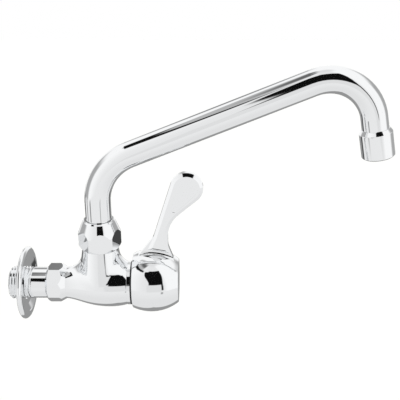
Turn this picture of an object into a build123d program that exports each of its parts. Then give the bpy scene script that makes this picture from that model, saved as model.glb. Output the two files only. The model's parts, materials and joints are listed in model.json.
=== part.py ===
"""Wall-mounted single lever sink tap with a swivelling tube spout.

Millimetres. +X runs from the wall towards the user along the inlet axis, +Z is up.
The origin is on the inlet axis at the wall, in the plane of the wall flange's back.
"""
import os
from math import atan, cos, degrees, pi, radians, sin, sqrt, tan

from build123d import *

# Clearances
running_fit = 0.05
close_fit = 0.02
slip_gap = 0.3
face_gap = 0.05

# Wall flange
flange_radius = 23.2
flange_depth = 3.1
flange_sheet = 1.0
flange_rim_round = 0.8
flange_lip_radius = 19.3
flange_dish_radius = 14.4
flange_hole_gap = 0.2
flange_dish_lift = 0.4

# Inlet thread and shank, a half inch pipe thread
inlet_thread_radius = 10.4775
inlet_thread_length = 13.5
inlet_thread_behind_wall = 8.5
inlet_thread_chamfer = 1.3
inlet_thread_runout = 0.3
shank_radius = 10.0
shank_length = 10.0
inlet_bore_radius = 6.25

# Wrench boss, an octagon between the shank and the waist
boss_across_flats = 23.0
boss_length = 8.4
boss_chamfer = 1.9
waist_radius = 10.1
waist_run = 4.2

# Body belly and front collar
belly_radius = 15.3
belly_shoulder_share = 0.64
belly_from_spout_axis = 3.9
body_front_from_spout_axis = 18.8
collar_length = 2.0

# Branch that carries the spout
spout_axis_x = 50.0
branch_radius = 11.3
branch_draft = 3.5
branch_foot_z = 2.0
branch_shoulder_z = 26.0
branch_blend_radius = 12.0
branch_thread_radius = 10.4775
branch_thread_length = 8.0
branch_waterway_radius = 6.5

# Spout nut
nut_across_flats = 24.0
nut_turned_radius = 13.35
nut_foot_radius = 11.7
nut_foot_height = 2.2
nut_height = 19.0
nut_cone_start = 9.8
nut_top_radius = 10.0
nut_top_round = 0.8
nut_turn_angle = -21.0
nut_roof = 3.1

# Spout tube: riser, first bend, slant, second bend, outlet drop
tube_radius = 8.0
tube_wall = 1.0
riser_corner_z = 78.9
first_bend_radius = 33.0
slant_angle = 22.2
slant_run = 170.5
second_bend_radius = 27.5
outlet_tilt = 11.5
outlet_drop = 42.5

# Spout ferrule, its seals and washers
spigot_length = 13.0
spigot_bore_radius = 5.8
ferrule_flange_radius = 10.0
ferrule_flange_height = 2.0
ferrule_sleeve_wall = 1.3
ferrule_sleeve_height = 4.1
ferrule_seat_height = 1.2
spout_o_ring_section = 1.6
spout_o_ring_spacing = 5.0
slip_ring_height = 0.9
thrust_washer_height = 0.8
thrust_washer_radius = 10.2

# Outlet bush and aerator
bush_collar_height = 2.2
bush_collar_top_radius = 8.5
bush_thread_radius = 9.0
bush_thread_length = 6.0
bush_lip_height = 1.0
aerator_radius = 9.9
aerator_height = 15.2
aerator_chamfer = 0.7
aerator_seam = 0.15
aerator_lip_height = 1.3
aerator_mouth_radius = 7.3
aerator_washer_height = 1.5
insert_wall = 0.9
insert_web = 1.2
insert_hole_radius = 0.55
insert_hole_circle = 3.6
insert_hole_count = 8
screen_height = 0.4
screen_spacing = 1.6
screen_count = 2

# Headwork: the quarter turn ceramic disc cartridge
seat_from_spout_axis = 6.0
seat_pocket_depth = 2.5
seat_seal_height = 1.4
disc_radius = 7.3
disc_height = 2.8
disc_port_inner = 2.2
disc_port_outer = 6.0
disc_port_angle = 74.0
housing_wall = 1.4
drive_tongue_width = 3.2
drive_tongue_depth = 1.4
drive_tongue_length = 10.0
driver_radius = 5.6
driver_height = 2.2
stop_lug_width = 3.0
quarter_turn = 90.0
headwork_thread_radius = 10.4775
headwork_thread_length = 9.0
window_angle = 50.0
window_length = 4.0
window_directions = [45.0, 180.0, 270.0]
hex_step = 0.52
hex_height = 5.0
gasket_height = 0.8
gasket_wall = 1.6
neck_radius = 7.4
neck_length = 5.4
spindle_radius = 4.7
spindle_o_ring_section = 1.5
spindle_o_ring_spacing = 4.0
slip_washer_height = 0.5
slip_washer_radius = 6.4
circlip_height = 0.8
circlip_radius = 6.4
circlip_groove_depth = 0.7
circlip_gap = 5.0
spline_radius = 4.4
spline_depth = 0.45
spline_count = 20

# Dust ring between body and handle
dust_ring_height = 1.1
dust_ring_wall = 1.25

# Lever handle: barrel hub and paddle
hub_length = 29.2
hub_belly_radius = 20.0
hub_belly_from_wall_end = 11.7
hub_arc_radius = 28.0
hub_rise = 1.85
hub_edge_round = 0.6
hub_skirt_depth = 6.6
hub_skirt_gap = 0.8
hub_neck_gap = 0.5
hub_web = 2.4
paddle_thickness = 6.0
paddle_bevel_width = 2.0
paddle_bevel_depth = 1.3
paddle_disc_radius = 10.1
paddle_disc_from_hub_end = 34.5
paddle_disc_z = 66.0
paddle_left_lean = 17.5
paddle_right_lean = 49.8
paddle_waist_from_hub_end = 22.6
paddle_waist_round = 20.0
paddle_root_depth = 4.5
left_flare_z = 33.0
right_flare_z = 27.5
paddle_flare_round = 12.0
paddle_root_blend = 2.0
paddle_root_left_from_hub_end = 1.5
paddle_root_right_from_hub_end = 26.3
face_foot_left_z = 24.7
face_foot_left_from_hub_end = 9.8
face_foot_right_z = 22.2
face_foot_right_from_hub_end = 23.2
panel_depth = 0.25
panel_border = 1.6
panel_tip_from_hub_end = 26.9
panel_tip_z = 52.2
panel_tip_radius = 1.7

# Handle screw and cap
cap_radius = 10.5
cap_height = 1.8
cap_skirt_depth = 2.0
cap_skirt_wall = 1.0
screw_radius = 2.0
screw_length = 9.0
screw_head_radius = 3.8
screw_head_height = 2.4
screw_head_gap = 0.8
screw_slot_width = 1.0
screw_slot_depth = 1.1

# Places along the inlet axis
thread_start_x = -inlet_thread_behind_wall
shank_start_x = thread_start_x + inlet_thread_length
boss_start_x = shank_start_x + shank_length
boss_end_x = boss_start_x + boss_length
waist_x = boss_end_x + waist_run
belly_x = spout_axis_x + belly_from_spout_axis
body_front_x = spout_axis_x + body_front_from_spout_axis
collar_x = body_front_x - collar_length
seat_x = spout_axis_x - seat_from_spout_axis
pocket_end_x = seat_x + seat_pocket_depth
fixed_disc_x = seat_x + seat_seal_height
moving_disc_x = fixed_disc_x + disc_height + close_fit
driver_x = moving_disc_x + disc_height
driver_end_x = driver_x + driver_height
hex_x = body_front_x + gasket_height
hex_end_x = hex_x + hex_height
neck_end_x = hex_end_x + neck_length
circlip_x = neck_end_x + slip_washer_height + face_gap
spline_x = circlip_x + circlip_height + circlip_groove_depth
hub_x = body_front_x + dust_ring_height + slip_gap
hub_end_x = hub_x + hub_length
cap_x = hub_end_x - cap_height
screw_head_x = cap_x - screw_head_height - screw_head_gap
web_x = screw_head_x - hub_web
spindle_end_x = web_x - slip_gap

# Places up the spout axis
branch_top_z = branch_shoulder_z + branch_thread_length
nut_z = branch_shoulder_z + face_gap
nut_top_z = nut_z + nut_height
ferrule_z = branch_top_z + thrust_washer_height + face_gap
ferrule_sleeve_z = ferrule_z + ferrule_flange_height
ferrule_top_z = ferrule_sleeve_z + ferrule_sleeve_height
tube_foot_z = ferrule_z + ferrule_seat_height
spigot_foot_z = branch_top_z - spigot_length

# Places along the outlet axis, counted from the aerator's upper rim
washer_start = bush_thread_length
insert_start = washer_start + aerator_washer_height
lip_start = aerator_height - aerator_lip_height

# Radii that fit each other
branch_bore_radius = tube_radius + running_fit
ferrule_sleeve_radius = tube_radius + ferrule_sleeve_wall
headwork_bore_radius = headwork_thread_radius + close_fit
barrel_radius = disc_radius + running_fit + housing_wall
seat_pocket_radius = barrel_radius + running_fit
spindle_bore_radius = spindle_radius + running_fit
hex_flats = 2 * (headwork_thread_radius + hex_step)
hex_corner_radius = hex_flats / 2 / cos(pi / 6)
dust_ring_inner = hex_corner_radius + running_fit
collar_radius = dust_ring_inner + dust_ring_wall
hub_skirt_radius = hex_corner_radius + hub_skirt_gap


def outline_face(points):
    """Flat face inside a closed line through the points."""
    return make_face(Polyline(*points, close=True))


def turned_x(points):
    """Solid turned about the inlet axis from (x, radius) points."""
    return revolve(Plane.XZ * outline_face(points), Axis.X)


def turned_z(points):
    """Solid turned about the spout axis from (radius, z) points."""
    return Pos(spout_axis_x, 0, 0) * revolve(Plane.XZ * outline_face(points), Axis.Z)


def bar_x(radius, start, end):
    """Round bar on the inlet axis."""
    return turned_x([(start, 0), (end, 0), (end, radius), (start, radius)])


def tube_x(inner, outer, start, end):
    """Plain ring or sleeve on the inlet axis."""
    return turned_x([(start, inner), (end, inner), (end, outer), (start, outer)])


def bar_z(radius, start, end):
    """Round bar on the spout axis."""
    return turned_z([(0, start), (radius, start), (radius, end), (0, end)])


def tube_z(inner, outer, start, end):
    """Plain ring or sleeve on the spout axis."""
    return turned_z([(inner, start), (outer, start), (outer, end), (inner, end)])


def along_x(section, start, end):
    """Section drawn in (y, z), drawn out along the inlet axis."""
    return Pos(start, 0, 0) * extrude(Plane.YZ * section, end - start)


def polygon(flats, sides):
    """Regular polygon that stands on a flat."""
    return RegularPolygon(flats / 2 / cos(pi / sides), sides, rotation=180 / sides)


def one_solid(shape):
    """The only solid of a shape."""
    return shape.solids()[0]


def wall_flange():
    """Spun wall cover: hollow rim, rounded lip and a dish down to the hole."""
    hole = inlet_thread_radius + flange_hole_gap
    rim_base = flange_radius - flange_rim_round
    lip_start_x = flange_depth - flange_rim_round / 2
    lip_root = flange_lip_radius - flange_rim_round
    dish_x = flange_dish_lift + flange_sheet
    dish = Polyline(
        (flange_dish_lift, hole),
        (dish_x, hole),
        (dish_x, flange_dish_radius),
        (lip_start_x, lip_root),
    )
    crown = Spline(
        (lip_start_x, lip_root),
        (flange_depth, flange_lip_radius + flange_rim_round / 2),
        (lip_start_x, rim_base),
        (flange_depth / 2, flange_radius),
        (0, rim_base),
    )
    hollow_x = lip_start_x - flange_sheet
    back = Polyline(
        (0, rim_base),
        (0, rim_base - flange_sheet),
        (hollow_x, rim_base - 2 * flange_sheet),
        (hollow_x, flange_lip_radius),
        (flange_dish_lift, flange_dish_radius + flange_sheet),
        (flange_dish_lift, hole),
    )
    return one_solid(revolve(Plane.XZ * make_face(dish + crown + back), Axis.X))


def is_branch_seam(edge):
    """Whether an edge runs round the branch where it leaves the belly."""
    box = edge.bounding_box()
    below_shoulder = box.max.Z < branch_shoulder_z - face_gap
    return box.min.Z > face_gap and below_shoulder and box.size.Y > branch_radius


def casting():
    """Belly and branch of the body, blended into each other."""
    collar_root = collar_radius - slip_gap
    rise = belly_radius - waist_radius
    curve = Spline(
        (boss_end_x, waist_radius - face_gap),
        (waist_x, waist_radius),
        ((waist_x + belly_x) / 2, waist_radius + belly_shoulder_share * rise),
        (belly_x, belly_radius),
        (collar_x, collar_root),
    )
    closing = Polyline(
        (collar_x, collar_root),
        (collar_x, 0),
        (boss_end_x, 0),
        (boss_end_x, waist_radius - face_gap),
    )
    belly = Rot(180, 0, 0) * revolve(Plane.XZ * make_face(curve + closing), Axis.X)
    foot_radius = branch_radius + branch_draft
    profile = outline_face([
        (0, 0),
        (foot_radius, 0),
        (foot_radius, branch_foot_z),
        (branch_radius, branch_shoulder_z),
        (0, branch_shoulder_z),
    ])
    branch = Pos(spout_axis_x, 0, 0) * Rot(0, 0, 90) * revolve(Plane.XZ * profile, Axis.Z)
    joined = belly + branch
    return fillet(joined.edges().filter_by(is_branch_seam), branch_blend_radius)


def wrench_boss():
    """Octagon whose corners are turned off at both ends, down to shank and waist."""
    corner = boss_across_flats / 2 / cos(pi / 8)
    envelope = turned_x([
        (boss_start_x, 0),
        (waist_x, 0),
        (waist_x, waist_radius),
        (boss_end_x, corner),
        (boss_start_x + boss_chamfer, corner),
        (boss_start_x, shank_radius),
    ])
    return along_x(polygon(boss_across_flats, 8), boss_start_x, waist_x) & envelope


def body():
    """Cast body: threaded shank, wrench boss, belly, branch and collar, with waterways."""
    thread = turned_x([
        (thread_start_x, 0),
        (shank_start_x, 0),
        (shank_start_x, inlet_thread_radius - inlet_thread_runout),
        (0, inlet_thread_radius),
        (thread_start_x + inlet_thread_chamfer, inlet_thread_radius),
        (thread_start_x, inlet_thread_radius - inlet_thread_chamfer),
    ])
    shank = bar_x(shank_radius, shank_start_x, boss_start_x + boss_chamfer)
    collar = bar_x(collar_radius, collar_x, body_front_x)
    branch_thread = bar_z(branch_thread_radius, branch_shoulder_z, branch_top_z)
    shell = casting() + wrench_boss() + shank + thread + collar + branch_thread
    inlet = bar_x(inlet_bore_radius, thread_start_x, seat_x)
    pocket = bar_x(seat_pocket_radius, seat_x, pocket_end_x)
    chamber = bar_x(headwork_bore_radius, pocket_end_x, body_front_x)
    riser = bar_z(branch_waterway_radius, seat_pocket_radius + slip_gap, spigot_foot_z)
    socket = bar_z(branch_bore_radius, spigot_foot_z - slip_gap, branch_top_z)
    return one_solid(shell - inlet - pocket - chamber - riser - socket)


def spout_nut():
    """Six sided nut turned to a cone on top, so that each flat ends in an arch."""
    envelope = turned_z([
        (0, nut_z),
        (nut_foot_radius, nut_z),
        (nut_turned_radius, nut_z + nut_foot_height),
        (nut_turned_radius, nut_z + nut_cone_start),
        (nut_top_radius, nut_top_z - nut_top_round),
        (nut_top_radius - nut_top_round, nut_top_z),
        (0, nut_top_z),
    ])
    hexagon = extrude(Rot(0, 0, nut_turn_angle) * polygon(nut_across_flats, 6), nut_height)
    roof_z = nut_top_z - nut_roof
    thread_radius = branch_thread_radius + close_fit
    sleeve_radius = ferrule_sleeve_radius + slip_gap
    cavity = turned_z([
        (0, nut_z),
        (thread_radius, nut_z),
        (thread_radius, ferrule_sleeve_z + slip_gap),
        (sleeve_radius, ferrule_sleeve_z + 2 * slip_gap),
        (sleeve_radius, roof_z),
        (tube_radius + slip_gap, roof_z),
        (tube_radius + slip_gap, nut_top_z),
        (0, nut_top_z),
    ])
    return one_solid((Pos(spout_axis_x, 0, nut_z) * hexagon & envelope) - cavity)


def spout_corner():
    """Point where the slant and the outlet drop would meet, from the spout axis."""
    slant = radians(slant_angle)
    return slant_run * cos(slant), riser_corner_z + slant_run * sin(slant)


def outlet_point(distance):
    """Point on the outlet axis at a distance below the upper corner."""
    corner_x, corner_z = spout_corner()
    tilt = radians(outlet_tilt)
    return corner_x + distance * sin(tilt), 0, corner_z - distance * cos(tilt)


def spout_tube():
    """Bent tube: riser, bend, slant, bend and outlet drop, with one wall all the way."""
    corner_x, corner_z = spout_corner()
    end = outlet_point(outlet_drop + bush_thread_length - bush_lip_height)
    points = [(0, 0, tube_foot_z), (0, 0, riser_corner_z), (corner_x, 0, corner_z), end]
    route = FilletPolyline(*points, radius=[first_bend_radius, second_bend_radius])
    ring = Circle(tube_radius) - Circle(tube_radius - tube_wall)
    tube = sweep(Pos(0, 0, tube_foot_z) * ring, route)
    return one_solid(Pos(spout_axis_x, 0, 0) * tube)


def turned_outlet(points):
    """Solid turned about the outlet axis from (radius, distance below the rim) points."""
    tilt = radians(outlet_tilt)
    rim = Plane(outlet_point(outlet_drop), x_dir=(0, 1, 0), z_dir=(sin(tilt), 0, -cos(tilt)))
    turned = revolve(Plane.XZ * outline_face(points), Axis.Z)
    return Pos(spout_axis_x, 0, 0) * (rim * turned)


def groove_centres(middle, spacing):
    """Places of a pair of grooves."""
    return [middle - spacing / 2, middle + spacing / 2]


def spout_groove_heights():
    """Heights of the spigot's two seal grooves."""
    return groove_centres((spigot_foot_z + branch_top_z) / 2, spout_o_ring_spacing)


def spindle_groove_places():
    """Places of the spindle's two seal grooves."""
    return groove_centres((hex_x + neck_end_x) / 2, spindle_o_ring_spacing)


def spout_ferrule():
    """Brazed foot of the tube: spigot with seal grooves, flange and sleeve."""
    ferrule = turned_z([
        (spigot_bore_radius, spigot_foot_z),
        (tube_radius - slip_gap, spigot_foot_z),
        (tube_radius, spigot_foot_z + slip_gap),
        (tube_radius, ferrule_z),
        (ferrule_flange_radius, ferrule_z),
        (ferrule_flange_radius, ferrule_sleeve_z),
        (ferrule_sleeve_radius, ferrule_sleeve_z),
        (ferrule_sleeve_radius, ferrule_top_z),
        (tube_radius + close_fit, ferrule_top_z),
        (tube_radius + close_fit, tube_foot_z),
        (spigot_bore_radius, tube_foot_z),
    ])
    groove_radius = branch_bore_radius - spout_o_ring_section
    half = spout_o_ring_section / 2 + running_fit
    for height in spout_groove_heights():
        ferrule -= tube_z(groove_radius, ferrule_flange_radius, height - half, height + half)
    return one_solid(ferrule)


def spout_o_rings():
    """Two seal rings of the spigot, one seal section inside the branch bore."""
    middle = branch_bore_radius - spout_o_ring_section / 2
    ring = Torus(middle, spout_o_ring_section / 2 - close_fit)
    return Compound([Pos(spout_axis_x, 0, height) * ring for height in spout_groove_heights()])


def spout_thrust_washer():
    """Plastic washer on the branch that the ferrule's flange turns on."""
    inner = branch_bore_radius + slip_gap
    end = branch_top_z + thrust_washer_height
    return one_solid(tube_z(inner, thrust_washer_radius, branch_top_z, end))


def spout_slip_ring():
    """Plastic ring on the ferrule's sleeve, under the nut's roof."""
    end = ferrule_top_z + slip_ring_height
    inner = tube_radius + running_fit
    return one_solid(tube_z(inner, ferrule_sleeve_radius, ferrule_top_z, end))


def outlet_bush():
    """Brazed collar on the tube's end with a conical shoulder and a thread below it."""
    shoulder = aerator_radius - aerator_seam
    lip = bush_thread_length - bush_lip_height
    return one_solid(turned_outlet([
        (tube_radius + close_fit, -bush_collar_height),
        (bush_collar_top_radius, -bush_collar_height),
        (shoulder, -aerator_seam),
        (shoulder, 0),
        (bush_thread_radius, 0),
        (bush_thread_radius, bush_thread_length),
        (tube_radius - tube_wall, bush_thread_length),
        (tube_radius - tube_wall, lip),
        (tube_radius + close_fit, lip),
    ]))


def aerator_housing():
    """Chromed sleeve that screws onto the bush and holds the insert on its inner lip."""
    thread = bush_thread_radius + close_fit
    return one_solid(turned_outlet([
        (thread, 0),
        (aerator_radius - aerator_seam, 0),
        (aerator_radius, aerator_seam),
        (aerator_radius, aerator_height - aerator_chamfer),
        (aerator_radius - aerator_chamfer, aerator_height),
        (aerator_mouth_radius, aerator_height),
        (aerator_mouth_radius, lip_start),
        (thread, lip_start),
    ]))


def aerator_washer():
    """Rubber washer between the bush and the insert."""
    inner = tube_radius - tube_wall
    return one_solid(turned_outlet([
        (inner, washer_start),
        (bush_thread_radius, washer_start),
        (bush_thread_radius, insert_start),
        (inner, insert_start),
    ]))


def aerator_insert():
    """Plastic cup whose web has a ring of jets."""
    inner = bush_thread_radius - insert_wall
    web_end = insert_start + insert_web
    cup = turned_outlet([
        (0, insert_start),
        (bush_thread_radius, insert_start),
        (bush_thread_radius, lip_start),
        (inner, lip_start),
        (inner, web_end),
        (0, web_end),
    ])
    tilt = radians(outlet_tilt)
    web_middle = outlet_drop + insert_start + insert_web / 2
    web = Plane(outlet_point(web_middle), x_dir=(0, 1, 0), z_dir=(sin(tilt), 0, -cos(tilt)))
    jet = Cylinder(insert_hole_radius, 2 * insert_web)
    for place in PolarLocations(insert_hole_circle, insert_hole_count):
        cup -= Pos(spout_axis_x, 0, 0) * (web * place * jet)
    return one_solid(cup)


def aerator_screen(number):
    """One of the round wire screens under the web, as a plain disc."""
    start = insert_start + insert_web + number * screen_spacing
    radius = bush_thread_radius - insert_wall
    return one_solid(turned_outlet([
        (0, start),
        (radius, start),
        (radius, start + screen_height),
        (0, start + screen_height),
    ]))


def aerator_spacer():
    """Ring that keeps the two screens apart."""
    outer = bush_thread_radius - insert_wall
    first = insert_start + insert_web + screen_height
    second = insert_start + insert_web + screen_spacing
    return one_solid(turned_outlet([
        (aerator_mouth_radius, first),
        (outer, first),
        (outer, second),
        (aerator_mouth_radius, second),
    ]))


def port_pair():
    """Two opposite wedges, the shape of the discs' water ports, left and right."""
    reach = 2 * disc_port_outer
    spread = reach * tan(radians(disc_port_angle / 2))
    wedge = outline_face([(0, 0), (reach, -spread), (reach, spread)])
    ring = Circle(disc_port_outer) - Circle(disc_port_inner)
    return (ring & wedge) + (ring & (Rot(0, 0, 180) * wedge))


def seat_seal():
    """Rubber ring pressed between the body's seat and the fixed disc."""
    return one_solid(tube_x(disc_port_outer, disc_radius, seat_x, fixed_disc_x))


def fixed_disc():
    """Ceramic disc that stays in the housing, with a port on each side."""
    section = Circle(disc_radius) - port_pair()
    return one_solid(along_x(section, fixed_disc_x, fixed_disc_x + disc_height))


def moving_disc():
    """Ceramic disc that turns with the spindle, closed a quarter turn from the fixed one."""
    section = Circle(disc_radius) - Rot(0, 0, quarter_turn) * port_pair()
    disc = along_x(section, moving_disc_x, driver_x)
    slot = Rectangle(drive_tongue_length + slip_gap, drive_tongue_width + 2 * running_fit)
    depth = drive_tongue_depth + running_fit
    return one_solid(disc - along_x(slot, driver_x - depth, driver_x))


def stop_lug(width, reach):
    """Bar from the axis to the right, the section of the stop lug or its pocket."""
    return Pos(reach / 2, 0) * Rectangle(reach, width)


def headwork_housing():
    """Cartridge case: barrel with side windows, thread, hexagon, neck and stop pocket."""
    disc_bore = disc_radius + running_fit
    stop_x = driver_x + 2 * face_gap
    shell = turned_x([
        (seat_x + slip_gap, disc_bore),
        (stop_x, disc_bore),
        (stop_x, driver_radius + 2 * running_fit),
        (driver_end_x + face_gap, driver_radius + 2 * running_fit),
        (driver_end_x + face_gap, spindle_bore_radius),
        (neck_end_x, spindle_bore_radius),
        (neck_end_x, neck_radius),
        (hex_x, neck_radius),
        (hex_x, headwork_thread_radius),
        (body_front_x - headwork_thread_length, headwork_thread_radius),
        (body_front_x - headwork_thread_length, barrel_radius),
        (seat_x + slip_gap, barrel_radius),
    ])
    hexagon = along_x(polygon(hex_flats, 6) - Circle(neck_radius), hex_x, hex_end_x)
    lug_reach = disc_radius
    lug = stop_lug(stop_lug_width + 2 * running_fit, lug_reach)
    sweep_wedge = outline_face([(0, 0), (2 * lug_reach, 0), (0, 2 * lug_reach)])
    pocket = (Circle(lug_reach) & (lug + sweep_wedge)) + Rot(0, 0, quarter_turn) * lug
    stop_end_x = driver_end_x + face_gap
    housing = shell + hexagon - along_x(pocket & Circle(lug_reach), stop_x, stop_end_x)
    window_x = driver_end_x - window_length
    reach = 2 * barrel_radius
    spread = reach * tan(radians(window_angle / 2))
    wedge = outline_face([(0, 0), (reach, -spread), (reach, spread)])
    for direction in window_directions:
        opening = Rot(0, 0, direction) * wedge - Circle(driver_radius)
        housing -= along_x(opening, window_x, window_x + window_length - slip_gap)
    return one_solid(housing)


def headwork_gasket():
    """Fibre washer under the cartridge's hexagon."""
    outer = headwork_thread_radius + gasket_wall
    return one_solid(tube_x(headwork_thread_radius, outer, body_front_x, hex_x))


def dust_ring():
    """Black ring round the cartridge that fills the gap between body and handle."""
    end = body_front_x + dust_ring_height
    return one_solid(tube_x(dust_ring_inner, collar_radius, body_front_x, end))


def spline_star(extra):
    """Toothed section of the spindle's end, larger all round by the extra."""
    points = []
    for number in range(2 * spline_count):
        depth = spline_depth * (number % 2)
        radius = spline_radius + extra - depth
        angle = pi * number / spline_count
        points.append((radius * cos(angle), radius * sin(angle)))
    return outline_face(points)


def spindle():
    """Spindle: drive tongue, stop lug, seal grooves, circlip groove and splined end."""
    groove_radius = spindle_bore_radius - spindle_o_ring_section
    circlip_end = circlip_x + circlip_height
    stem = turned_x([
        (driver_x, 0),
        (driver_x, driver_radius),
        (driver_end_x, driver_radius),
        (driver_end_x, spindle_radius),
        (circlip_x, spindle_radius),
        (circlip_x, spindle_radius - circlip_groove_depth),
        (circlip_end, spindle_radius - circlip_groove_depth),
        (circlip_end, spindle_radius),
        (spline_x, spindle_radius),
        (spline_x, 0),
    ])
    stem -= along_x(Rot(0, 0, quarter_turn) * port_pair(), driver_x, driver_end_x)
    half = spindle_o_ring_section / 2 + running_fit
    for place in spindle_groove_places():
        stem -= tube_x(groove_radius, driver_radius, place - half, place + half)
    lug = stop_lug(stop_lug_width, disc_radius - running_fit) & Circle(disc_radius - running_fit)
    stem += along_x(lug, driver_x + 3 * face_gap, driver_end_x)
    tongue = Rectangle(drive_tongue_length, drive_tongue_width)
    stem += along_x(tongue, driver_x - drive_tongue_depth, driver_x + face_gap)
    stem += along_x(spline_star(0), spline_x, spindle_end_x)
    screw_end = screw_head_x - screw_length - slip_gap
    return one_solid(stem - bar_x(screw_radius + close_fit, screw_end, spindle_end_x))


def spindle_o_rings():
    """Two seal rings of the spindle."""
    middle = spindle_bore_radius - spindle_o_ring_section / 2
    ring = Rot(0, 90, 0) * Torus(middle, spindle_o_ring_section / 2 - close_fit)
    return Compound([Pos(place, 0, 0) * ring for place in spindle_groove_places()])


def spindle_slip_washer():
    """Thin washer between the cartridge's neck and the circlip."""
    end = neck_end_x + slip_washer_height
    return one_solid(tube_x(spindle_bore_radius, slip_washer_radius, neck_end_x, end))


def spindle_circlip():
    """Open spring ring that holds the spindle in the cartridge."""
    inner = spindle_radius - circlip_groove_depth
    mouth = Pos(0, -circlip_radius) * Rectangle(circlip_gap, circlip_radius)
    section = Circle(circlip_radius) - Circle(inner) - mouth
    return one_solid(along_x(section, circlip_x, circlip_x + circlip_height))


def hub_barrel():
    """Barrel of the handle, turned about an axis a little above the spindle's."""
    belly_place = hub_x + hub_belly_from_wall_end
    arc_centre = hub_belly_radius - hub_arc_radius
    front_reach = hub_end_x - belly_place
    wall_end = arc_centre + sqrt(hub_arc_radius**2 - hub_belly_from_wall_end**2)
    front_end = arc_centre + sqrt(hub_arc_radius**2 - front_reach**2)
    side = ThreePointArc((hub_x, wall_end), (belly_place, hub_belly_radius), (hub_end_x, front_end))
    closing = Polyline((hub_end_x, front_end), (hub_end_x, 0), (hub_x, 0), (hub_x, wall_end))
    barrel = Rot(180, 0, 0) * revolve(Plane.XZ * make_face(side + closing), Axis.X)
    return Pos(0, 0, hub_rise) * fillet(barrel.edges().filter_by(GeomType.CIRCLE), hub_edge_round)


def paddle_outline(foot_left, foot_right):
    """Lever seen from the side: leaning neck between two foot points and a round disc end."""
    centre_x = hub_x + paddle_disc_from_hub_end
    left = radians(paddle_left_lean)
    right = radians(paddle_right_lean)
    left_x = centre_x - paddle_disc_radius * cos(left)
    left_z = paddle_disc_z + paddle_disc_radius * sin(left)
    right_x = centre_x + paddle_disc_radius * cos(right)
    right_z = paddle_disc_z - paddle_disc_radius * sin(right)
    waist = hub_x + paddle_waist_from_hub_end
    waist_z = right_z - (right_x - waist) / tan(right)
    left_flare_x = left_x - (left_z - left_flare_z) * tan(left)
    neck = outline_face([
        (left_x, left_z),
        (left_flare_x, left_flare_z),
        foot_left,
        foot_right,
        (waist, right_flare_z),
        (waist, waist_z),
        (right_x, right_z),
        (centre_x, paddle_disc_z),
    ])
    shape = neck + Pos(centre_x, paddle_disc_z) * Circle(paddle_disc_radius)
    waist_corner = shape.vertices().sort_by_distance((waist, waist_z, 0))[0]
    shape = fillet(waist_corner, paddle_waist_round)
    for place in [(left_flare_x, left_flare_z, 0), (waist, right_flare_z, 0)]:
        corner = shape.vertices().sort_by_distance(place)[0]
        shape = fillet(corner, paddle_flare_round)
    return shape


def paddle_core():
    """Middle layer of the lever, drawn down into the barrel."""
    root_z = hub_rise + hub_belly_radius - paddle_root_depth
    foot_left = (hub_x + paddle_root_left_from_hub_end, root_z)
    foot_right = (hub_x + paddle_root_right_from_hub_end, root_z)
    half = paddle_thickness / 2 - paddle_bevel_depth
    return Plane.XZ * extrude(paddle_outline(foot_left, foot_right), half, both=True)


def paddle_face():
    """Front layer of the lever: bevelled all round, with a shallow drop shaped panel."""
    foot_left = (hub_x + face_foot_left_from_hub_end, face_foot_left_z)
    foot_right = (hub_x + face_foot_right_from_hub_end, face_foot_right_z)
    half = paddle_thickness / 2 - paddle_bevel_depth
    slope = degrees(atan(paddle_bevel_width / paddle_bevel_depth))
    outline = paddle_outline(foot_left, foot_right)
    layer = Pos(0, 0, half) * extrude(outline, paddle_bevel_depth, taper=slope)
    centre = Pos(hub_x + paddle_disc_from_hub_end, paddle_disc_z)
    panel_radius = paddle_disc_radius - paddle_bevel_width - panel_border
    tip = Pos(hub_x + panel_tip_from_hub_end, panel_tip_z) * Circle(panel_tip_radius)
    drop = make_hull((centre * Circle(panel_radius)).edges() + tip.edges())
    floor = paddle_thickness / 2 - panel_depth
    return Plane.XZ * (layer - Pos(0, 0, floor) * extrude(drop, paddle_bevel_depth))


def is_root_seam(edge):
    """Whether an edge runs round the lever where it leaves the barrel."""
    box = edge.bounding_box()
    top = hub_rise + hub_belly_radius
    inside = box.min.Z > top - paddle_root_depth and box.max.Z < top
    return inside and box.size.Y < paddle_thickness and edge.geom_type != GeomType.LINE


def lever_blank():
    """Barrel and lever in one, blended at the root."""
    joined = hub_barrel() + paddle_core()
    blended = fillet(joined.edges().filter_by(is_root_seam), paddle_root_blend)
    return blended + paddle_face() + mirror(paddle_face(), Plane.XZ)


def lever_handle():
    """Handle casting: barrel and paddle in one, hollow for the cartridge and the screw."""
    handle = lever_blank()
    skirt_end = hub_x + hub_skirt_depth
    neck_gap_radius = neck_radius + hub_neck_gap
    handle -= bar_x(hub_skirt_radius, hub_x, skirt_end)
    handle -= bar_x(neck_gap_radius, skirt_end, spline_x)
    handle -= along_x(spline_star(running_fit), spline_x, web_x)
    handle -= bar_x(screw_radius + slip_gap, web_x, screw_head_x)
    skirt_radius = cap_radius - cap_skirt_wall
    handle -= Pos(0, 0, hub_rise) * bar_x(skirt_radius, screw_head_x, cap_x)
    handle -= Pos(0, 0, hub_rise) * bar_x(cap_radius + close_fit, cap_x, hub_end_x)
    return one_solid(handle)


def handle_cap():
    """Plain round cap with a snap skirt, flush with the front of the barrel."""
    skirt_outer = cap_radius - cap_skirt_wall - close_fit
    skirt_inner = skirt_outer - cap_skirt_wall
    cap = bar_x(cap_radius, cap_x, hub_end_x)
    skirt = tube_x(skirt_inner, skirt_outer, cap_x - cap_skirt_depth, cap_x)
    return one_solid(Pos(0, 0, hub_rise) * (cap + skirt))


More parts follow.
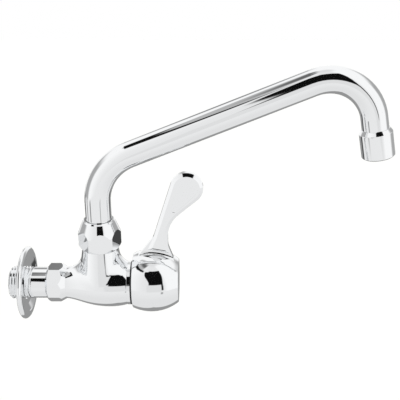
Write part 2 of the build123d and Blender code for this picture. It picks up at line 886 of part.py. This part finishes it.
def handle_screw():
    """Slotted screw that pulls the handle onto the spindle."""
    head = bar_x(screw_head_radius, screw_head_x, screw_head_x + screw_head_height)
    shank = bar_x(screw_radius, screw_head_x - screw_length, screw_head_x)
    slot_x = screw_head_x + screw_head_height - screw_slot_depth
    slot = Rectangle(screw_slot_width, 2 * screw_head_radius)
    return one_solid(head + shank - along_x(slot, slot_x, screw_head_x + screw_head_height))


makers = {
    "wall_flange": wall_flange,
    "body": body,
    "spout_nut": spout_nut,
    "spout_tube": spout_tube,
    "spout_ferrule": spout_ferrule,
    "spout_o_rings": spout_o_rings,
    "spout_thrust_washer": spout_thrust_washer,
    "spout_slip_ring": spout_slip_ring,
    "outlet_bush": outlet_bush,
    "aerator_housing": aerator_housing,
    "aerator_washer": aerator_washer,
    "aerator_insert": aerator_insert,
    "aerator_spacer": aerator_spacer,
    "seat_seal": seat_seal,
    "fixed_disc": fixed_disc,
    "moving_disc": moving_disc,
    "headwork_housing": headwork_housing,
    "headwork_gasket": headwork_gasket,
    "dust_ring": dust_ring,
    "spindle": spindle,
    "spindle_o_rings": spindle_o_rings,
    "spindle_slip_washer": spindle_slip_washer,
    "spindle_circlip": spindle_circlip,
    "lever_handle": lever_handle,
    "handle_cap": handle_cap,
    "handle_screw": handle_screw,
}

os.makedirs("parts", exist_ok=True)
for node, make in makers.items():
    export_step(make(), f"parts/{node}.step")
for number in range(screen_count):
    export_step(aerator_screen(number), f"parts/aerator_screen_{number + 1}.step")
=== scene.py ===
"""Chrome wall tap with a swivelling tube spout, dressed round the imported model."""
import json
from math import cos, radians, sin

import bpy
from mathutils import Matrix, Vector, kdtree


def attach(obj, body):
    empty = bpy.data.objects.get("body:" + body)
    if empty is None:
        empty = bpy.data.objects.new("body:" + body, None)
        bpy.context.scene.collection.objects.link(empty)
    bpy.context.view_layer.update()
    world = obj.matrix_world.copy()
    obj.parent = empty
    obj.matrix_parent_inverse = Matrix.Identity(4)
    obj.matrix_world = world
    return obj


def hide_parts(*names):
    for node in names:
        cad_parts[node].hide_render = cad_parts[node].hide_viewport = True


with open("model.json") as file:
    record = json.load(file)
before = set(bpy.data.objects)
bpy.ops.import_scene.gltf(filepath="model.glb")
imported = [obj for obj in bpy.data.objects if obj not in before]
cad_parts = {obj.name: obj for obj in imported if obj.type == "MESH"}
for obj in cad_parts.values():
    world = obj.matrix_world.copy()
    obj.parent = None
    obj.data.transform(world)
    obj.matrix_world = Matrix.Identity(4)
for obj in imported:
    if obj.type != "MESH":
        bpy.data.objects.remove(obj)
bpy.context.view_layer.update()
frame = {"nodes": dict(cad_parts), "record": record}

MM = 0.001
body_of_node = {
    node: name
    for name, nodes in frame["record"]["behaviour"]["bodies"].items()
    for node in nodes
}
slot_of_node = {row["node"]: row["material_slot"] for row in frame["record"]["subparts"]}


# Colour and nodes

def linear(code):
    """Linear colour of an sRGB hex value."""
    parts = [int(code[i:i + 2], 16) / 255 for i in (1, 3, 5)]
    return [p / 12.92 if p <= 0.04045 else ((p + 0.055) / 1.055) ** 2.4 for p in parts] + [1.0]


def add(tree, kind, settings=None):
    """Adds a node. Each setting is a plain value, or the socket that is linked in there."""
    node = tree.nodes.new("ShaderNode" + kind)
    for key, value in (settings or {}).items():
        if isinstance(value, bpy.types.NodeSocket):
            tree.links.new(value, node.inputs[key])
        elif isinstance(key, int) or key in node.inputs:
            node.inputs[key].default_value = value
        else:
            setattr(node, key, value)
    return node


def new_material(name):
    """Empty node material and its tree."""
    made = bpy.data.materials.new(name)
    made.use_nodes = True
    made.node_tree.nodes.clear()
    return made, made.node_tree


def object_noise(tree, size_mm, detail):
    """Noise in the object's own coordinates with features of a real size."""
    place = add(tree, "TexCoord")
    noise = add(tree, "TexNoise", {"Scale": 1 / (size_mm * MM), "Detail": detail,
                                   "Vector": place.outputs["Object"]})
    return noise.outputs["Fac"]


# Finishes

def polished_chrome():
    """Chrome plate on polished brass."""
    made, tree = new_material("polished_chrome_plate")
    # Waves 9 mm wide, left by hand polishing: they make long reflections waver a little
    waves = object_noise(tree, 9.0, 1.0)
    # Faint haze in 2 mm patches: the mirror isn't equally sharp everywhere
    haze = object_noise(tree, 2.0, 3.0)
    bump = add(tree, "Bump", {"Strength": 0.05, "Distance": 0.02 * MM, "Height": waves})
    rough = add(tree, "MapRange", {"To Min": 0.02, "To Max": 0.05, "Value": haze})
    shader = add(tree, "BsdfPrincipled", {
        "Base Color": linear("#F4F5F6"), "Metallic": 1.0,
        "Roughness": rough.outputs[0], "Normal": bump.outputs[0]})
    add(tree, "OutputMaterial", {"Surface": shader.outputs[0]})
    return made


def plain_finish(name, colour, metallic, rough_low, rough_high, grain_mm, bump_mm):
    """Finish with a fine grain: the roughness varies and the grain lifts the surface."""
    made, tree = new_material(name)
    grain = object_noise(tree, grain_mm, 4.0)
    bump = add(tree, "Bump", {"Strength": 0.4, "Distance": bump_mm * MM, "Height": grain})
    rough = add(tree, "MapRange", {"To Min": rough_low, "To Max": rough_high, "Value": grain})
    shader = add(tree, "BsdfPrincipled", {
        "Base Color": linear(colour), "Metallic": metallic,
        "Roughness": rough.outputs[0], "Normal": bump.outputs[0]})
    add(tree, "OutputMaterial", {"Surface": shader.outputs[0]})
    return made


# The grains are drawn 0.2 to 0.6 mm wide, coarser than the real marks, so that they can show
finishes = {
    # Bright neutral mirror, which draws its surroundings as crisp bands
    "chrome": polished_chrome(),
    # Warm yellow metal with the broken shine that a lathe tool leaves
    "brass": plain_finish("turned_brass", "#D8B56A", 1.0, 0.18, 0.3, 0.4, 0.01),
    # Near black and dull, with only a wide soft sheen
    "rubber": plain_finish("moulded_black_rubber", "#101011", 0.0, 0.55, 0.75, 0.3, 0.02),
    # Milky white with a waxy half shine
    "white_plastic": plain_finish("natural_acetal", "#E9E8E2", 0.0, 0.35, 0.5, 0.6, 0.01),
    # Cream white and glassy, as flat and smooth as lapping makes it
    "ceramic": plain_finish("lapped_alumina", "#F2F0EA", 0.0, 0.08, 0.16, 0.2, 0.002),
    # Brick red, dry and matt
    "fibre": plain_finish("red_fibre", "#8A3A28", 0.0, 0.7, 0.85, 0.5, 0.03),
    # Cool grey metal with a satin shine
    "wire": plain_finish("stainless_steel", "#C6C7C8", 1.0, 0.22, 0.35, 0.3, 0.005),
}
for node, thing in frame["nodes"].items():
    thing.data.materials.clear()
    thing.data.materials.append(finishes[slot_of_node[node]])


# The inlet thread, cut as a real helix on a copy of the body. Its sizes are in millimetres:
# places along X from the wall plane, and radii round the X axis.

thread_pitch = 1.814
thread_mouth, chamfer_end, fade_start, fade_end = -8.48, -7.2, 0, 5
mouth_radius, crest_radius, fade_radius = 9.1975, 10.46, 10.16
sleeve_bore = 6.3
# Half a turn of the thread, from its rounded root to its rounded crest: place and radius
half_turn = [(0, 9.32), (0.14, 9.38), (0.30, 9.64), (0.61, 10.16), (0.77, 10.42), (0.907, 10.4775)]
# The helix starts before the mouth, and is cut a little outside both ends before it is trimmed
helix_start, helix_turns = -12.2, 12
rough_cuts = ((-8.7, True), (5.2, False))
# The body's plain cylinder lies within this place and outside this radius
cylinder_end, cylinder_core = 5.001, 9.25
# Points nearer than these are merged, on the thread and on the body, whose faces come loose
thread_merge, body_merge = 0.001, 0.002
cut_tolerance = 0.0001
steps_per_turn = 96
smoothed_angle = 32  # degrees: sharper edges of the thread stay sharp


def only(piece):
    """Selects one object alone."""
    bpy.ops.object.select_all(action="DESELECT")
    piece.select_set(True)
    bpy.context.view_layer.objects.active = piece


def drawn_line(name, points):
    """Line through points in millimetres, X along and Z out from the axis."""
    bpy.ops.object.select_all(action="DESELECT")
    start = Vector((points[0][0], 0, points[0][1])) * MM
    bpy.ops.mesh.primitive_plane_add(size=MM, location=start)
    line = bpy.context.object
    line.name = name
    bpy.ops.object.transform_apply(location=True)
    bpy.ops.object.mode_set(mode="EDIT")
    bpy.ops.mesh.select_all(action="SELECT")
    bpy.ops.mesh.merge(type="CENTER")
    for here, there in zip(points, points[1:]):
        step = Vector((there[0] - here[0], 0, there[1] - here[1])) * MM
        bpy.ops.mesh.extrude_region_move(TRANSFORM_OT_translate={"value": step})
    bpy.ops.object.mode_set(mode="OBJECT")
    return line


def turned(line, pitch, turns):
    """Turns a drawn line round the X axis, moving on by a pitch with each turn."""
    only(line)
    screw = line.modifiers.new("turns", "SCREW")
    screw.axis = "X"
    screw.steps = screw.render_steps = steps_per_turn
    screw.screw_offset = pitch * MM
    screw.iterations = turns
    bpy.ops.object.modifier_apply(modifier=screw.name)
    bpy.ops.object.mode_set(mode="EDIT")
    bpy.ops.mesh.select_all(action="SELECT")
    bpy.ops.mesh.remove_doubles(threshold=thread_merge * MM)
    bpy.ops.object.mode_set(mode="OBJECT")


def outward(piece):
    """Faces of a closed piece all pointing out."""
    only(piece)
    bpy.ops.object.mode_set(mode="EDIT")
    bpy.ops.mesh.select_all(action="SELECT")
    bpy.ops.mesh.normals_make_consistent(inside=False)
    bpy.ops.object.mode_set(mode="OBJECT")


def inlet_thread():
    """Half inch pipe thread, right handed, with its chamfered start and fading end."""
    ridge = half_turn + [(thread_pitch - x, r) for x, r in reversed(half_turn[:-1])]
    piece = drawn_line("inlet_thread", [(x + helix_start, r) for x, r in ridge])
    turned(piece, thread_pitch, helix_turns)
    bpy.ops.object.mode_set(mode="EDIT")
    for place, rear in rough_cuts:
        bpy.ops.mesh.select_all(action="SELECT")
        bpy.ops.mesh.bisect(plane_co=(place * MM, 0, 0), plane_no=(1, 0, 0), use_fill=True,
                            threshold=cut_tolerance * MM, clear_inner=rear,
                            clear_outer=not rear)
    bpy.ops.object.mode_set(mode="OBJECT")
    outward(piece)
    sleeve = drawn_line("thread_sleeve", [
        (thread_mouth, sleeve_bore), (thread_mouth, mouth_radius), (chamfer_end, crest_radius),
        (fade_start, crest_radius), (fade_end, fade_radius), (fade_end, sleeve_bore),
        (thread_mouth, sleeve_bore)])
    turned(sleeve, 0, 1)
    outward(sleeve)
    only(piece)
    trim = piece.modifiers.new("trim", "BOOLEAN")
    trim.operation = "INTERSECT"
    trim.solver = "EXACT"
    trim.object = sleeve
    bpy.ops.object.modifier_apply(modifier=trim.name)
    bpy.data.objects.remove(sleeve)
    only(piece)
    bpy.ops.object.shade_smooth_by_angle(angle=radians(smoothed_angle))
    return piece


def shade_like(piece, source):
    """Gives the corners of a merged copy the shading of the same corners of its source."""
    old, new = source.data, piece.data
    centres = kdtree.KDTree(len(old.polygons))
    for face in old.polygons:
        centres.insert(face.center, face.index)
    centres.balance()
    shading = []
    for face in new.polygons:
        match = old.polygons[centres.find(face.center)[1]]
        for corner in face.loop_indices:
            spot = new.vertices[new.loops[corner].vertex_index].co
            gaps = [((old.vertices[old.loops[i].vertex_index].co - spot).length, i)
                    for i in match.loop_indices]
            shading.append(old.corner_normals[min(gaps)[1]].vector)
    new.normals_split_custom_set(shading)


def body_less_thread():
    """Merged copy of the body with the plain cylinder of the thread taken off."""
    source = frame["nodes"]["body"]
    piece = bpy.data.objects.new("cast_body", source.data.copy())
    bpy.context.scene.collection.objects.link(piece)
    only(piece)
    bpy.ops.mesh.customdata_custom_splitnormals_clear()
    bpy.ops.object.mode_set(mode="EDIT")
    bpy.ops.mesh.select_all(action="SELECT")
    bpy.ops.mesh.remove_doubles(threshold=body_merge * MM)
    bpy.ops.mesh.select_all(action="DESELECT")
    bpy.ops.object.mode_set(mode="OBJECT")
    for face in piece.data.polygons:
        x, y, z = face.center / MM
        face.select = x < cylinder_end and (y * y + z * z) ** 0.5 > cylinder_core
    bpy.ops.object.mode_set(mode="EDIT")
    bpy.ops.mesh.select_mode(type="FACE")
    bpy.ops.mesh.delete(type="FACE")
    bpy.ops.mesh.select_mode(type="VERT")
    bpy.ops.object.mode_set(mode="OBJECT")
    bpy.ops.object.shade_smooth()
    shade_like(piece, source)
    return piece


for piece in (body_less_thread(), inlet_thread()):
    piece.data.materials.clear()
    piece.data.materials.append(finishes["chrome"])
    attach(piece, body_of_node["body"])
    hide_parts("body")


# Floor

def floor_paper():
    """Pale matt paper: near white with the tap's soft shadow, and clear to reflections."""
    made, tree = new_material("white_floor_paper")
    path = add(tree, "LightPath")
    paper = add(tree, "BsdfDiffuse", {"Color": linear("#F4F4F2")})
    lift = add(tree, "Emission", {"Color": linear("#FFFFFF"), "Strength": 0.12})
    lit = add(tree, "AddShader", {0: paper.outputs[0], 1: lift.outputs[0]})
    clear = add(tree, "BsdfTransparent")
    shown = add(tree, "MixShader", {0: path.outputs["Is Glossy Ray"],
                                    1: lit.outputs[0], 2: clear.outputs[0]})
    add(tree, "OutputMaterial", {"Surface": shown.outputs[0]})
    return made


floor_width, floor_centre = 6, (0.1, 0, -0.35)  # metres, well below the tap
bpy.ops.mesh.primitive_plane_add(size=floor_width, location=floor_centre)
floor = bpy.context.object
floor.name = "floor"
floor.data.materials.append(floor_paper())


# World: plain white to the camera and to diffuse light, and a soft tent far away to
# reflections, with a level of 1 for white. Its angles are in degrees: around goes from the front
# to the right, height goes up from the horizon, and behind goes from the rear to both sides.

past = 500  # beyond every angle, for a panel with no edge on that side


def laid(tree, level, panels):
    """Lays soft-edged panels over a level, one after the other. Each has its own level and its
    bounds: an angle, where the panel starts and ends on it, and how far its edges fade."""
    for aim, *bounds in panels:
        cover = 1.0
        for angle, start, end, fade in bounds:
            rise = add(tree, "MapRange", {
                "interpolation_type": "SMOOTHSTEP", "Value": angle,
                "From Min": start - fade, "From Max": start + fade})
            fall = add(tree, "MapRange", {
                "interpolation_type": "SMOOTHSTEP", "Value": angle,
                "From Min": end + fade, "From Max": end - fade})
            strip = add(tree, "Math", {"operation": "MULTIPLY",
                                       0: rise.outputs[0], 1: fall.outputs[0]})
            cover = add(tree, "Math", {"operation": "MULTIPLY",
                                       0: cover, 1: strip.outputs[0]}).outputs[0]
        level = add(tree, "Mix", {0: cover, 2: level, 3: aim}).outputs[0]
    return level


world = bpy.data.worlds.new("soft_tent")
bpy.context.scene.world = world
world.use_nodes = True
tent = world.node_tree
tent.nodes.clear()

way = add(tent, "SeparateXYZ", {0: add(tent, "TexCoord").outputs["Generated"]})
ahead = add(tent, "Math", {"operation": "MULTIPLY", 0: way.outputs[1], 1: -1.0})
bearing = add(tent, "Math", {"operation": "ARCTAN2", 0: way.outputs[0], 1: ahead.outputs[0]})
around = add(tent, "Math", {"operation": "DEGREES", 0: bearing.outputs[0]}).outputs[0]
upward = add(tent, "Math", {"operation": "ARCSINE", 0: way.outputs[2]})
height = add(tent, "Math", {"operation": "DEGREES", 0: upward.outputs[0]}).outputs[0]
aside = add(tent, "Math", {"operation": "ABSOLUTE", 0: around})
behind = add(tent, "Math", {"operation": "SUBTRACT", 0: 180.0, 1: aside.outputs[0]}).outputs[0]

floor_level = laid(tent, 0.88, (
    (0.82, (height, -past, -40, 20)),                              # a little darker below
    (0.32, (behind, -past, 51, 9)),                                # grey at the rear
    (0.06, (behind, 40, 56, 3), (height, -39, past, 5)),           # dark edge of the grey
    (0.16, (behind, 78, 86, 2), (height, -39, past, 5)),           # dark line at both sides
    (0.24, (around, -68, -58, 2), (height, -30, -19, 2)),          # grey line, front left
    (0.40, (around, 24, 30, 1.5), (height, -27, -19, 2)),          # pale grey line, front right
))
# The roof darkens with height
roof_level = laid(tent, 0.50, ((0.14, (height, 66.5, past, 3.5)),))
# The doorway's sides lean: with height the left one goes out from -7 to -28 and comes back to
# -12 at the top, and the right one goes out from 31 to 37
doorway_left = laid(tent, -7, ((-28, (height, 33.5, past, 19.5)), (-12, (height, 56, past, 2))))
doorway_right = laid(tent, 31, ((37, (height, 30, past, 20)),))
from_left = add(tent, "Math", {"operation": "SUBTRACT", 0: around, 1: doorway_left}).outputs[0]
from_right = add(tent, "Math", {"operation": "SUBTRACT", 0: around, 1: doorway_right}).outputs[0]
tent_level = laid(tent, 0.86, (
    (1.02, (around, -past, -42.5, 32.5)),                          # bright left wall
    (1.02, (around, 36.5, past, 8.5)),                             # bright right wall
    (0.42, (around, -135, -84, 9), (height, -past, 24, 10)),       # grey low on the left
    (0.42, (around, 96, 150, 9), (height, -past, 32, 10)),         # grey low on the right
    (0.22, (around, -173, -154, 7), (height, 14, 38, 9)),          # small dark patch, rear left
    (roof_level, (around, -138, -46, 8), (height, 57.5, past, 2.5)),   # dark roof on the left
    (0.80, (height, 78.5, past, 5.5)),                             # pale top
    (0.005, (around, -112, -36, 5), (height, 51.5, 58.5, 1.2)),    # black flag under the roof
    (0.004, (from_left, 0, past, 1.5), (from_right, -past, 0, 1.5),
     (height, -12, 60, 1.5)),                                      # black doorway in front
    (0.80, (around, -12, 26, 1.5), (height, -past, 9.5, 1)),       # pale paper low in it
    (floor_level, (height, -past, -17, 1.5)),                      # the tent's floor
))

plain = add(tent, "Background", {"Color": linear("#FFFFFF"), "Strength": 1.0})
pattern = add(tent, "Background", {"Color": linear("#FFFFFF"), "Strength": tent_level})
path = add(tent, "LightPath")
seen = add(tent, "MixShader", {0: path.outputs["Is Glossy Ray"],
                               1: plain.outputs[0], 2: pattern.outputs[0]})
add(tent, "OutputWorld", {"Surface": seen.outputs[0]})


# Camera at the photograph's viewing angle, with its focal length in the photograph's pixels

photo_width = 400
focal_length = 685.2
camera_place = Vector((113.9, -387.9, 220.3)) * MM
camera_yaw = radians(-0.15)
camera_pitch = radians(22.72)
camera_roll = radians(0.11)

forward = Vector((sin(camera_yaw) * cos(camera_pitch), cos(camera_yaw) * cos(camera_pitch),
                  -sin(camera_pitch)))
sideways = Vector((cos(camera_yaw), -sin(camera_yaw), 0))
upright = sideways.cross(forward)
right = sideways * cos(camera_roll) + upright * sin(camera_roll)
above = upright * cos(camera_roll) - sideways * sin(camera_roll)
lens = bpy.data.cameras.new("studio_camera")
lens.lens = focal_length / photo_width * lens.sensor_width
lens.clip_start = 0.01
camera = bpy.data.objects.new("studio_camera", lens)
turn = Matrix((right, above, -forward)).transposed().to_4x4()
camera.matrix_world = Matrix.Translation(camera_place) @ turn
bpy.context.scene.collection.objects.link(camera)
bpy.context.scene.camera = camera
bpy.context.scene.view_settings.view_transform = "Standard"
